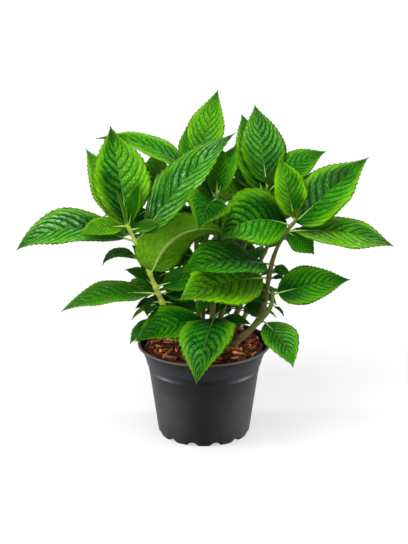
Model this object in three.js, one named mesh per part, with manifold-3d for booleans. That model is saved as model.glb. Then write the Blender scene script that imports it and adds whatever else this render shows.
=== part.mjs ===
// A young hydrangea shrub in its nursery pot: a tapered plastic pot with a flared collar, a domed bed of
// shredded bark, the canes that spring from it, and the leafy shoot that each cane ends in.
// Millimetres, +Z up. The origin is the middle of the pot's flat underside, -Y is the front, +X the right.

import * as THREE from "three";
import { mergeVertices } from "three/addons/utils/BufferGeometryUtils.js";
import Module from "manifold-3d";

const wasm = await Module();
wasm.setup();

// Driving sizes of the pot
const pot = {
  height: 107,
  rimRadius: 75,
  collarHeight: 23,
  collarFootRadius: 64.6,
  stepDepth: 1.4,
  footRadius: 51.3,
  wall: 1.8,
  lip: 2.6,
  floor: 2.5,
  sides: 44,
};
const notch = { count: 12, width: 12, height: 4.2, depth: 5 };

// Driving sizes of the bark bed
const bark = { edgeZ: 99, crownZ: 113, chips: 60, chipLength: 24, chipWidth: 4.4, chipHeight: 3.2, seed: 7 };

// Driving sizes shared by every shoot
const clearance = 0.3;
const cane = {
  footRadius: 3.8,
  tipRadius: 1.9,
  sides: 7,
  steps: 5,
  flare: 1.35,
  flareReach: 0.12,
  sunk: 3,
  hollow: 1.4,
};
const blade = { widthShare: 0.54, thickness: 1.8, taper: 0.2, fold: 16, curl: 0.1, lag: 0.06, belly: 0.78 };
const petiole = { width: 3.2, thickness: 2.8 };

const colours = {
  potPlastic: 0x2b2c2e,
  barkBrown: 0x6d2f1a,
  caneBrown: 0x8a7a3c,
  leafGreen: 0x2f7d1e,
};

// A leaf says where it points, in degrees round the plant from +X, how steeply its blade rises, its length,
// how far it has bent down by its tip, its roll about the midrib and its stalk. Some also sweep sideways,
// are broader or narrower for their length than most, fold more, or are broadest nearer their tip.
function leaf(toward, rise, length, droop = 30, roll = 0, stalk = 12, special = {}) {
  const { sweep = 0, share = blade.widthShare, fold = blade.fold, belly = blade.belly } = special;
  return { toward, rise, length, droop, roll, stalk, sweep, width: length * share, fold, belly };
}

// Each shoot is a cane that rises from its foot in the bark, leans towards two guide points and ends at its
// tip. Its leaves stand on nodes, at shares of the cane's length, mostly in pairs that turn by about a right
// angle from node to node.
const shoots = {
  left: {
    foot: [-28, -4],
    guides: [[-44, -7, 150], [-62, -11, 198]],
    tip: [-85, -14, 250],
    leafyFrom: 0.36,
    nodes: [
      [0.38, leaf(-14, -2, 40, 30, 46, 7, { share: 0.6 }), leaf(196, 2, 26, 40, -34, 6)],
      [0.45, leaf(187, 4, 101, 39, -19, 12, { share: 0.42 }), leaf(-6, 12, 52, 40, 44, 8, { share: 0.62 })],
      [0.51, leaf(150, 34, 36, 50, -10, 8, { share: 0.6 }), leaf(-4, 20, 50, 40, 44, 8, { share: 0.62 })],
      [0.62, leaf(-10, 66, 112, 104, -62, 5, { share: 0.6, fold: 26, belly: 0.58 }),
        leaf(158, 66, 34, 30, -10, 5, { share: 0.7 })],
      [0.72, leaf(186, 30, 46, 118, -24, 10, { share: 0.36 }), leaf(84, 26, 26, 40, 10, 6)],
      [0.88, leaf(184, 21, 129, 72, -30, 12, { share: 0.41, belly: 0.98 }),
        leaf(8, 54, 151, 18, 28, 14, { share: 0.42 })],
      [0.97, leaf(142, 57, 96, 10, -20, 8, { share: 0.5 }), leaf(-14, 18, 34, 10, 44, 5, { share: 0.5 })],
      [1, leaf(114, 68, 108, 8, 0, 6, { share: 0.65 }), leaf(212, 8, 54, 24, -30, 8)],
      [1, leaf(204, 76, 42, 8, 0, 4, { share: 0.42 }), leaf(50, 72, 46, 12, 0, 5, { share: 0.5 })],
    ],
  },
  leftLow: {
    foot: [-24, -18],
    guides: [[-32, -18, 122], [-46, -18, 138]],
    tip: [-57, -18, 158],
    leafyFrom: 0.4,
    nodes: [
      [0.7, leaf(214, -12, 44, 46, -6, 6, { share: 0.56 })],
      [1, leaf(190, -24, 24, 40, 60, 6, { share: 0.3 }), leaf(-100, 14, 32, 50, 0, 6)],
    ],
  },
  frontLow: {
    foot: [4, -20],
    guides: [[6, -24, 120], [8, -28, 136]],
    tip: [13, -32, 150],
    leafyFrom: 0.3,
    nodes: [
      [0.6, leaf(-155, -10, 36, 60, 0, 8), leaf(150, 20, 26, 40, 0, 8)],
      [0.85, leaf(206, 6, 87, 38, -22, 12, { share: 0.64 }), leaf(0, 2, 34, 34, 20, 9)],
      [1, leaf(-99, 0, 107, 74, 4, 8, { share: 0.6, sweep: -12 }), leaf(30, 50, 26, 30, 0, 5)],
    ],
  },
  frontMid: {
    foot: [8, -2],
    guides: [[10, -4, 150], [12, -8, 210]],
    tip: [14, -12, 286],
    leafyFrom: 0.32,
    nodes: [
      [0.36, leaf(-112, 10, 38, 50, 0, 8), leaf(92, 16, 36, 50, 0, 8)],
      [0.53, leaf(20, 4, 36, 50, 20, 8), leaf(112, 10, 26, 50, -20, 6)],
      [0.68, leaf(-118, 16, 40, 50, 0, 8), leaf(62, 22, 46, 50, 0, 8)],
      [0.83, leaf(70, 34, 30, 50, 0, 6), leaf(158, 30, 44, 50, -20, 8)],
      [0.98, leaf(-102, 12, 90, 46, -22, 6, { share: 0.6 }), leaf(125, 40, 62, 30, 0, 8)],
      [1, leaf(84, 74, 56, 8, 0, 4, { share: 0.56 }), leaf(38, 66, 56, 8, 0, 5, { share: 0.76 })],
    ],
  },
  right: {
    foot: [30, -2],
    guides: [[95, -8, 142], [48, -14, 197]],
    tip: [103, -18, 258],
    leafyFrom: 0.4,
    nodes: [
      [0.6, leaf(210, 7, 108, 30, -36, 8, { share: 0.7 }), leaf(-34, 16, 18, 30, 20, 4)],
      [0.7, leaf(212, 17, 112, 34, -16, 8, { share: 0.68 }), leaf(-15, -24, 14, 40, 10, 4)],
      [0.93, leaf(-4, 3, 113, 30, 26, 8, { share: 0.43, fold: 7, belly: 0.98 }),
        leaf(-12, -32, 38, 20, 50, 2, { share: 0.8 })],
      [0.97, leaf(24, 37, 110, 4, 24, 6, { share: 0.65, belly: 0.66 }),
        leaf(200, 22, 86, 80, -44, 5, { share: 0.9 })],
      [1, leaf(132, 72, 68, 8, 0, 5, { share: 0.76 }), leaf(-80, 60, 20, 20, 0, 5)],
      [0.66, leaf(6, -4, 20, 40, 44, 4, { share: 0.7 })],
    ],
  },
  rightLow: {
    foot: [28, -20],
    guides: [[60, -24, 142], [78, -28, 148]],
    tip: [76, -32, 178],
    leafyFrom: 0.36,
    nodes: [
      [0.48, leaf(-50, -21, 63, 54, 15, 8, { share: 0.66 }), leaf(140, 20, 24, 40, 0, 6)],
      [0.8, leaf(-20, -30, 16, 40, 0, 4), leaf(150, 10, 30, 40, 0, 6)],
      [0.97, leaf(6, 13.5, 82, 12, 46, 6, { share: 0.58, belly: 0.68 }), leaf(150, 30, 26, 40, 0, 6)],
    ],
  },
  centre: {
    foot: [-4, 8],
    guides: [[-8, 12, 170], [-10, 20, 240]],
    tip: [-7.5, 39, 297],
    leafyFrom: 0.32,
    nodes: [
      [0.36, leaf(172, 8, 32, 50, -20, 8), leaf(58, 8, 34, 50, 0, 8)],
      [0.7, leaf(146, 14, 56, 40, -20, 8), leaf(-20, 6, 60, 36, 48, 6, { share: 0.62 })],
      [0.85, leaf(98, 20, 88, 60, 0, 12), leaf(-84, 10, 30, 40, 0, 8)],
      [0.98, leaf(168, 34, 118, 48, -16, 8, { share: 0.34 }), leaf(-32, 30, 22, 40, 10, 8)],
      [1, leaf(57, 67, 92, 8, 0, 5, { share: 0.55 }), leaf(112, 58, 50, 10, 0, 6, { share: 0.7 })],
      [0.5, leaf(184, 8, 54, 40, -52, 3, { share: 0.6 }), leaf(-22, 2, 38, 34, 50, 6, { share: 0.66 })],
    ],
  },
  rightBack: {
    foot: [12, 12],
    guides: [[26, 16, 160], [44, 20, 220]],
    tip: [72, 24, 284],
    leafyFrom: 0.34,
    nodes: [
      [0.38, leaf(-16, 6, 32, 46, 20, 7), leaf(78, 8, 56, 56, 0, 10)],
      [0.6, leaf(84, 10, 66, 60, 0, 10), leaf(-70, 20, 24, 40, 0, 7)],
      [0.82, leaf(50, 30, 62, 50, 0, 10), leaf(236, 20, 40, 40, 0, 8)],
      [0.95, leaf(18, 44, 80, 36, 32, 8, { share: 0.56 }), leaf(124, 66, 90, 8, 0, 6, { share: 0.64 }),
        leaf(168, 44, 56, 16, -20, 6, { share: 0.6 })],
      [1, leaf(110, 68, 89, 8, 0, 6, { share: 0.62 }), leaf(-60, 60, 30, 20, 0, 5)],
      [0.9, leaf(188, 30, 58, 40, -44, 8, { share: 0.62 })],
    ],
  },
  backLeft: {
    foot: [-16, 14],
    guides: [[-26, 24, 150], [-44, 40, 210]],
    tip: [-62, 48, 258],
    leafyFrom: 0.22,
    nodes: [
      [0.4, leaf(140, 0, 66, 56, 16, 12), leaf(70, 8, 30, 50, -10, 8)],
      [0.6, leaf(90, 10, 92, 64, 0, 12), leaf(-40, 20, 20, 40, 0, 6)],
      [0.82, leaf(166, 24, 58, 56, 20, 10), leaf(36, 16, 50, 50, -14, 10)],
      [1, leaf(118, 36, 90, 60, 0, 8), leaf(-50, 50, 40, 30, 0, 6)],
      [1, leaf(70, 64, 62, 16, 0, 5), leaf(205, 66, 44, 14, 0, 5)],
      [0.96, leaf(192, -30, 50, 34, -48, 6, { share: 0.66 })],
      [0.27, leaf(188, 6, 40, 34, -48, 8), leaf(-20, 4, 18, 34, 48, 5)],
      [0.5, leaf(184, -22, 48, 40, -48, 7, { share: 0.64 }), leaf(112, -6, 60, 60, 0, 10)],
      [0.7, leaf(132, 8, 48, 60, 14, 8)],
    ],
  },
  back: {
    foot: [-2, 26],
    guides: [[-2, 42, 140], [0, 68, 186]],
    tip: [2, 98, 228],
    leafyFrom: 0.2,
    nodes: [
      [0.4, leaf(176, 4, 62, 50, 18, 12), leaf(14, 12, 30, 50, -10, 8)],
      [0.62, leaf(100, -8, 94, 60, 0, 12), leaf(-80, 30, 44, 44, 0, 8)],
      [0.84, leaf(176, 16, 80, 56, 22, 12), leaf(8, 16, 42, 50, -22, 8)],
      [1, leaf(76, 22, 96, 66, 0, 8), leaf(-96, 60, 48, 20, 0, 6)],
      [1, leaf(150, 50, 80, 44, 0, 6), leaf(-20, 56, 50, 30, 0, 5)],
      [0.25, leaf(190, 2, 40, 34, -48, 8), leaf(-14, 2, 28, 34, 48, 5)],
      [0.5, leaf(66, 4, 60, 56, -10, 10)],
      [0.74, leaf(110, 34, 62, 56, 14, 8), leaf(40, 14, 56, 56, -14, 10)],
    ],
  },
  backRight: {
    foot: [26, 22],
    guides: [[42, 38, 142], [64, 58, 184]],
    tip: [86, 72, 226],
    leafyFrom: 0.21,
    nodes: [
      [0.42, leaf(100, 0, 72, 64, 0, 12), leaf(-40, 0, 36, 40, 0, 10)],
      [0.66, leaf(108, 0, 74, 66, -10, 12), leaf(170, 38, 42, 50, -44, 5, { share: 0.66 })],
      [0.86, leaf(88, 8, 66, 60, 0, 10), leaf(-40, 24, 30, 40, 0, 8)],
      [1, leaf(44, 24, 66, 50, -14, 8), leaf(190, 50, 50, 40, 0, 8)],
      [1, leaf(76, 48, 84, 50, 0, 6), leaf(-80, 72, 28, 20, 0, 5)],
      [0.26, leaf(-12, 8, 32, 34, 48, 6, { share: 0.64 }), leaf(194, 4, 34, 34, -48, 8)],
      [0.54, leaf(20, 6, 50, 50, -16, 9)],
      [0.76, leaf(64, 10, 60, 56, -8, 10)],
    ],
  },
  backLow: {
    foot: [-14, 40],
    guides: [[-16, 48, 116], [-18, 56, 130]],
    tip: [-20, 64, 144],
    leafyFrom: 0.3,
    nodes: [
      [0.65, leaf(140, 4, 60, 52, 0, 12), leaf(14, 10, 22, 44, 0, 6)],
      [1, leaf(96, 4, 84, 72, 0, 10), leaf(10, 14, 44, 56, 0, 8)],
    ],
  },
  backLowRight: {
    foot: [36, 36],
    guides: [[44, 44, 118], [52, 52, 130]],
    tip: [58, 60, 140],
    leafyFrom: 0.3,
    nodes: [
      [0.65, leaf(0, -6, 28, 50, 0, 8), leaf(170, 8, 36, 44, 0, 8)],
      [1, leaf(58, 0, 82, 70, 0, 10)],
    ],
  },
};

const radians = THREE.MathUtils.degToRad;

// A solid from a closed geometry whose shared vertices are merged
function solidOf(geometry) {
  const bare = geometry.clone();
  bare.deleteAttribute("normal");
  bare.deleteAttribute("uv");
  const merged = mergeVertices(bare, 1e-4);
  return new wasm.Manifold(
    new wasm.Mesh({
      numProp: 3,
      vertProperties: new Float32Array(merged.attributes.position.array),
      triVerts: new Uint32Array(merged.index.array),
    }),
  );
}

// The named mesh of a solid
function meshOf(name, solid, colour, roughness) {
  const made = solid.getMesh();
  const geometry = new THREE.BufferGeometry();
  geometry.setAttribute("position", new THREE.BufferAttribute(made.vertProperties, 3));
  geometry.setIndex(new THREE.BufferAttribute(made.triVerts, 1));
  geometry.computeVertexNormals();
  const material = new THREE.MeshStandardMaterial({ color: colour, roughness, metalness: 0 });
  const mesh = new THREE.Mesh(geometry, material);
  mesh.name = name;
  return mesh;
}

// A closed skin over rings of points. Each ring runs out along one side and back along the other, so that
// a cap is a ladder between the two sides. Diagonals alternate, so a thin blade bends alike above and below.
function loft(rings) {
  const count = rings[0].length;
  const positions = rings.flat().flatMap((p) => [p.x, p.y, p.z]);
  const faces = [];
  for (let ring = 0; ring + 1 < rings.length; ring++) {
    for (let i = 0; i < count; i++) {
      const a = ring * count + i;
      const b = ring * count + ((i + 1) % count);
      if (i % 2 === 0) faces.push(a, b, b + count, a, b + count, a + count);
      else faces.push(a, b, a + count, b, b + count, a + count);
    }
  }
  const last = (rings.length - 1) * count;
  for (let i = 0; i < count / 2 - 1; i++) {
    const far = count - 1 - i;
    faces.push(i, far, far - 1, i, far - 1, i + 1);
    faces.push(last + i, last + far - 1, last + far, last + i, last + i + 1, last + far - 1);
  }
  const geometry = new THREE.BufferGeometry();
  geometry.setAttribute("position", new THREE.Float32BufferAttribute(positions, 3));
  geometry.setIndex(faces);
  return geometry;
}

// Repeatable random numbers from 0 to 1
function randomFrom(seed) {
  let state = seed;
  return () => {
    state = (state * 1103515245 + 12345) % 2147483648;
    return state / 2147483648;
  };
}

// Height of the bark bed at a distance from the pot's axis
function barkHeight(distance) {
  const share = Math.min(distance / (pot.rimRadius - pot.wall), 1);
  return bark.crownZ - (bark.crownZ - bark.edgeZ) * share ** 2.4;
}

// The radius of the pot's outside at a height
function bodyRadius(z) {
  const stepZ = pot.height - pot.collarHeight;
  const top = pot.collarFootRadius - pot.stepDepth;
  return pot.footRadius + ((top - pot.footRadius) * z) / stepZ;
}

function makePot() {
  const stepZ = pot.height - pot.collarHeight;
  const outline = [
    [0, 0],
    [pot.footRadius - 2.5, 0],
    [pot.footRadius, 3],
    [bodyRadius(stepZ - 1.5), stepZ - 1.5],
    [pot.collarFootRadius, stepZ],
    [pot.collarFootRadius + 1.2, stepZ + 6],
    [pot.rimRadius - pot.lip, pot.height - pot.lip],
    [pot.rimRadius, pot.height - pot.lip * 0.6],
    [pot.rimRadius, pot.height - 0.5],
    [pot.rimRadius - 0.8, pot.height],
    [pot.rimRadius - pot.lip, pot.height],
    [pot.collarFootRadius + 1.2 - pot.wall, stepZ + 6],
    [bodyRadius(stepZ) - pot.wall, stepZ - 2],
    [pot.footRadius + 0.4 - pot.wall, pot.floor],
    [0, pot.floor],
  ].map(([x, z]) => new THREE.Vector2(x, z));
  let solid = solidOf(new THREE.LatheGeometry(outline, pot.sides).rotateX(Math.PI / 2));
  for (let i = 0; i < notch.count; i++) {
    const cut = new THREE.CylinderGeometry(notch.width / 2, notch.width / 2, notch.depth * 2, 12);
    cut.scale(1, 1, (2 * notch.height) / notch.width);
    cut.rotateZ(Math.PI / 2);
    cut.translate(pot.footRadius + 1, 0, 0);
    cut.rotateZ(((i + 0.5) * 2 * Math.PI) / notch.count);
    solid = solid.subtract(solidOf(cut));
  }
  return solid;
}

// Whether a chip lies clear of every cane's foot
function clearOfCanes(middle, half) {
  return Object.values(shoots).every(({ foot }) => {
    const place = new THREE.Vector3(...foot, 0);
    const ends = new THREE.Line3(middle.clone().add(half), middle.clone().sub(half));
    const nearest = ends.closestPointToPoint(place, true, new THREE.Vector3());
    return nearest.distanceTo(place) > 3 * cane.footRadius;
  });
}

// The bark bed fills the pot down to its floor, and its domed top carries chips wherever no cane stands
function makeBark() {
  const gap = pot.wall + clearance;
  const stepZ = pot.height - pot.collarHeight;
  const edgeRadius = pot.rimRadius - pot.lip - 4.6;
  const outline = [
    [0, pot.floor + clearance],
    [pot.footRadius - gap, pot.floor + clearance],
    [bodyRadius(stepZ) - gap, stepZ - 2.6],
    [pot.collarFootRadius + 0.6 - gap, stepZ + 6],
    [edgeRadius, bark.edgeZ],
    ...[0.86, 0.7, 0.5, 0.28].map((share) => [pot.rimRadius * share, barkHeight(pot.rimRadius * share)]),
    [0, bark.crownZ],
  ].map(([x, z]) => new THREE.Vector2(x, z));
  let solid = solidOf(new THREE.LatheGeometry(outline, 32).rotateX(Math.PI / 2));
  const random = randomFrom(bark.seed);
  for (let i = 0; i < bark.chips; i++) {
    const reach = 10 + Math.sqrt(random()) * (edgeRadius - 22);
    const around = random() * 2 * Math.PI;
    const turn = random() * Math.PI;
    const length = bark.chipLength * (0.5 + 0.5 * random());
    const width = bark.chipWidth * (0.7 + 0.6 * random());
    const middle = new THREE.Vector3(reach * Math.cos(around), reach * Math.sin(around), 0);
    const half = new THREE.Vector3((length / 2) * Math.cos(turn), (length / 2) * Math.sin(turn), 0);
    if (!clearOfCanes(middle, half)) continue;
    const chip = new THREE.BoxGeometry(length, width, bark.chipHeight);
    chip.rotateX((random() - 0.5) * 0.9);
    chip.rotateZ(turn);
    chip.translate(middle.x, middle.y, barkHeight(reach) + 0.2);
    solid = solid.add(solidOf(chip));
  }
  return solid;
}

function caneCurve(shoot) {
  const [x, y] = shoot.foot;
  const foot = new THREE.Vector3(x, y, barkHeight(Math.hypot(x, y)) - 6);
  const [lean, crook] = shoot.guides.map((guide) => new THREE.Vector3(...guide));
  return new THREE.CubicBezierCurve3(foot, lean, crook, new THREE.Vector3(...shoot.tip));
}

function caneRadius(share) {
  const flare = 1 + (cane.flare - 1) * Math.max(0, 1 - share / cane.flareReach) ** 2;
  return (cane.footRadius + (cane.tipRadius - cane.footRadius) * share) * flare;
}

// A round tapering limb along a stretch of a cane, or a sleeve that is wider than the cane by a margin
function limb(curve, from, to, margin = 0) {
  const steps = cane.steps;
  const rings = [];
  for (let step = 0; step <= steps; step++) {
    const share = from + ((to - from) * step) / steps;
    const middle = curve.getPoint(share);
    const along = curve.getTangent(share);
    const side = new THREE.Vector3(0, 1, 0).cross(along).normalize();
    const up = along.clone().cross(side);
    const radius = caneRadius(share) + margin;
    const ring = [];
    for (let i = 0; i < cane.sides; i++) {
      const angle = (i * 2 * Math.PI) / cane.sides;
      ring.push(
        middle
          .clone()
          .addScaledVector(side, radius * Math.cos(angle))
          .addScaledVector(up, radius * Math.sin(angle)),
      );
    }
    rings.push(ring);
  }
  return solidOf(loft(rings));
}

// Half-width of a blade at a share of its length, as a share of its greatest half-width
function outline(share, belly) {
  return Math.sin(Math.PI * share ** belly) ** (0.8 + 0.5 * share);
}

// One leaf as a single skin: a stalk that starts inside the cane, then a folded blade bent along its midrib
function leafSolid(root, spec) {
  const half = spec.width / 2;
  const rings = [];
  const at = root.clone();
  const addRing = (pitch, toward, halfWidth, thickness, foldAngle) => {
    const along = new THREE.Vector3(
      Math.cos(pitch) * Math.cos(toward),
      Math.cos(pitch) * Math.sin(toward),
      Math.sin(pitch),
    );
    const level = new THREE.Vector3(-Math.sin(toward), Math.cos(toward), 0);
    const side = level.applyAxisAngle(along, radians(spec.roll));
    const up = along.clone().cross(side);
    const place = (across, lift) => at.clone().addScaledVector(side, across).addScaledVector(up, lift);
    const raised = halfWidth * (Math.sin(foldAngle) - blade.curl);
    const wide = halfWidth * Math.cos(foldAngle);
    rings.push([place(-wide, raised), place(0, -thickness / 2), place(wide, raised), place(0, thickness / 2)]);
    return along;
  };
  const toward = radians(spec.toward);
  const rise = radians(spec.rise);
  const stalkRise = rise * 0.75 + 0.1;
  for (const share of [0, 0.55]) {
    const along = addRing(stalkRise, toward, petiole.width / 2, petiole.thickness, 0);
    at.addScaledVector(along, spec.stalk * (share === 0 ? 0.55 : 0.45));
  }
  const stations = spec.length > 66 ? 6 : spec.length > 36 ? 4 : 3;
  const step = spec.length / stations;
  const ahead = 0.5 / stations - blade.lag;
  for (let i = 0; i <= stations; i++) {
    const share = i / stations;
    const bend = (share + ahead) ** 1.3;
    const pitch = rise - radians(spec.droop) * bend;
    const turned = toward + radians(spec.sweep) * bend;
    const halfWidth = Math.max(half * outline(share, spec.belly), i === 0 ? petiole.width / 2 : 0.5);
    const thickness = blade.thickness * (i === 0 ? 1.4 : 1 - blade.taper * share);
    const along = addRing(pitch, turned, halfWidth, thickness, radians(spec.fold) * Math.min(1, share * 4));
    at.addScaledVector(along, step);
  }
  return solidOf(loft(rings));
}

// The leafy end of a cane: the rest of its stem with every leaf's stalk sunk into it
function makeFoliage(shoot) {
  const curve = caneCurve(shoot);
  const gap = clearance / curve.getLength();
  let solid = limb(curve, shoot.leafyFrom + gap, 1);
  for (const [share, ...leaves] of shoot.nodes) {
    for (const spec of leaves) {
      solid = solid.add(leafSolid(curve.getPoint(share * 0.985), spec));
    }
  }
  return solid;
}

// All that lies above a height, wide enough for any shoot
function above(z) {
  return solidOf(new THREE.BoxGeometry(600, 600, 600).translate(0, 0, z + 300));
}

// Node names are in lower case, such as cane_right_low
function nodeName(kind, key) {
  return kind + "_" + key.replace(/[A-Z]/g, (letter) => "_" + letter.toLowerCase());
}

// Each cane stands in a small hollow of the bark, clear of it all round
const shrub = new THREE.Group();
let barkBed = makeBark();
for (const [key, shoot] of Object.entries(shoots)) {
  const curve = caneCurve(shoot);
  const footZ = curve.v0.z + cane.sunk;
  const stem = limb(curve, 0.015, shoot.leafyFrom).intersect(above(footZ));
  shrub.add(meshOf(nodeName("cane", key), stem, colours.caneBrown, 0.7));
  barkBed = barkBed.subtract(limb(curve, 0, shoot.leafyFrom, cane.hollow).intersect(above(footZ - clearance)));
}
for (const [key, shoot] of Object.entries(shoots)) {
  shrub.add(meshOf(nodeName("leaves", key), makeFoliage(shoot), colours.leafGreen, 0.45));
}
shrub.add(meshOf("pot", makePot(), colours.potPlastic, 0.55));
shrub.add(meshOf("bark_bed", barkBed, colours.barkBrown, 0.95));

export default shrub;
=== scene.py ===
# A young hydrangea in its nursery pot. Lengths in the dictionaries are millimetres and angles are degrees, but
# the studio is in metres. A share runs from 0 at the foot of a thing to 1 at its tip.
import math
import random

import bmesh
import bpy
from mathutils import Matrix, Vector


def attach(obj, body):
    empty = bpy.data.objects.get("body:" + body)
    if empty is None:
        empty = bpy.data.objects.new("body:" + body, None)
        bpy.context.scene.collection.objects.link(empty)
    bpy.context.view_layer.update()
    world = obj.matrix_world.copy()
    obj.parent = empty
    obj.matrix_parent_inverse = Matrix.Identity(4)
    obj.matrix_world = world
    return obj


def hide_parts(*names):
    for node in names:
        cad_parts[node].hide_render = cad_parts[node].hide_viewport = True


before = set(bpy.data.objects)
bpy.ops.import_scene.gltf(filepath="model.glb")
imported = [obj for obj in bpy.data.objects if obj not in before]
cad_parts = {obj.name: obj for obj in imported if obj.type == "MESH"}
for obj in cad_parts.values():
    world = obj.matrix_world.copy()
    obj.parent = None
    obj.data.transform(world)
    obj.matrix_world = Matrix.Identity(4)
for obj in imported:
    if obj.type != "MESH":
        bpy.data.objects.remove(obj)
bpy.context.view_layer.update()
mm = 0.001
anyTurn = 6.28  # the reach of a random angle, in radians


class Signal:
    # a shader socket that sums, products and the like can be written with
    def __init__(self, finish, socket):
        self.finish = finish
        self.socket = socket

    def maths(self, operation, *others):
        return self.finish.out("ShaderNodeMath", {"operation": operation}, dict(enumerate((self,) + others)))

    def flipped(self, operation, other):
        return self.finish.out("ShaderNodeMath", {"operation": operation}, {0: other, 1: self})

    def __add__(self, other):
        return self.maths("ADD", other)

    def __radd__(self, other):
        return self.flipped("ADD", other)

    def __sub__(self, other):
        return self.maths("SUBTRACT", other)

    def __rsub__(self, other):
        return self.flipped("SUBTRACT", other)

    def __mul__(self, other):
        return self.maths("MULTIPLY", other)

    def __rmul__(self, other):
        return self.flipped("MULTIPLY", other)

    def __pow__(self, other):
        return self.maths("POWER", other)

    def __abs__(self):
        return self.maths("ABSOLUTE")

    def ease(self, low, high):
        # 0 below low, 1 above high, smooth between
        return self.finish.out("ShaderNodeMapRange", {"interpolation_type": "SMOOTHSTEP"},
                               {"Value": self, "From Min": low, "From Max": high})


class Finish:
    # one material, built node by node
    def __init__(self, name):
        self.material = bpy.data.materials.new(name)
        self.material.use_nodes = True
        self.tree = self.material.node_tree
        self.shader = self.tree.nodes["Principled BSDF"]

    def feed(self, socket, value):
        if isinstance(value, Signal):
            self.tree.links.new(value.socket, socket)
        elif isinstance(value, (tuple, list)) and len(value) == 3 and socket.type == "RGBA":
            socket.default_value = (*value, 1)
        else:
            socket.default_value = value

    def out(self, kind, settings=None, sockets=None, output=0):
        # a new node, and the output of it that is asked for
        made = self.tree.nodes.new(kind)
        for key, value in (settings or {}).items():
            setattr(made, key, value)
        for key, value in (sockets or {}).items():
            self.feed(made.inputs[key], value)
        return Signal(self, made.outputs[output])

    def mix(self, factor, first, second, blend="MIX"):
        # sockets 0, 6 and 7 and output 2 are the ones for colour
        return self.out("ShaderNodeMix", {"data_type": "RGBA", "blend_type": blend},
                        {0: factor, 6: first, 7: second}, 2)

    def parts(self, vector):
        split = self.out("ShaderNodeSeparateXYZ", {}, {0: vector})
        return [Signal(self, socket) for socket in split.socket.node.outputs]

    def join(self, x, y, z=0.0):
        return self.out("ShaderNodeCombineXYZ", {}, {0: x, 1: y, 2: z})

    def uv(self, name):
        return self.out("ShaderNodeUVMap", {"uv_map": name})

    def here(self):
        return self.out("ShaderNodeTexCoord", {}, {}, "Object")

    def trait(self, name):
        # a colour laid on the corners of the mesh
        settings = {"attribute_type": "GEOMETRY", "attribute_name": name}
        return self.out("ShaderNodeAttribute", settings, {}, "Color")

    def noise(self, vector, scale, detail=4.0):
        return self.out("ShaderNodeTexNoise", {}, {"Vector": vector, "Scale": scale, "Detail": detail,
                                                   "Roughness": 0.55}, "Fac")

    def cells(self, vector, scale, feature="DISTANCE_TO_EDGE"):
        return self.out("ShaderNodeTexVoronoi", {"feature": feature}, {"Vector": vector, "Scale": scale},
                        "Distance")

    def done(self, colour, roughness, height=None, depth=0.001, strength=1.0, **fixed):
        # fixed holds the sockets that are the same all over, with _ for a space
        self.feed(self.shader.inputs["Base Color"], colour)
        self.feed(self.shader.inputs["Roughness"], roughness)
        if height is not None:
            bump = self.out("ShaderNodeBump", {}, {"Strength": strength, "Distance": depth, "Height": height},
                            "Normal")
            self.feed(self.shader.inputs["Normal"], bump)
        for name, value in fixed.items():
            self.shader.inputs[name.replace("_", " ")].default_value = value
        return self.material


def blendTones(stops, at):
    # a colour between the two stops that at lies between
    for (low, first), (high, second) in zip(stops, stops[1:]):
        if at <= high:
            t = min(1, max(0, (at - low) / (high - low)))
            return tuple(a + (b - a) * t for a, b in zip(first, second))
    return stops[-1][1]


def pieceFrom(bm, name, material, slot, nodes):
    # links the finished mesh, and hides the parts of the model that it stands in for
    bmesh.ops.recalc_face_normals(bm, faces=bm.faces)
    mesh = bpy.data.meshes.new(name)
    bm.to_mesh(mesh)
    bm.free()
    mesh.materials.append(material)
    piece = bpy.data.objects.new(name, mesh)
    bpy.context.scene.collection.objects.link(piece)
    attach(piece, "root")
    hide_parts(*nodes)
    print(name, len(mesh.polygons), "faces")
    return piece


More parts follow.
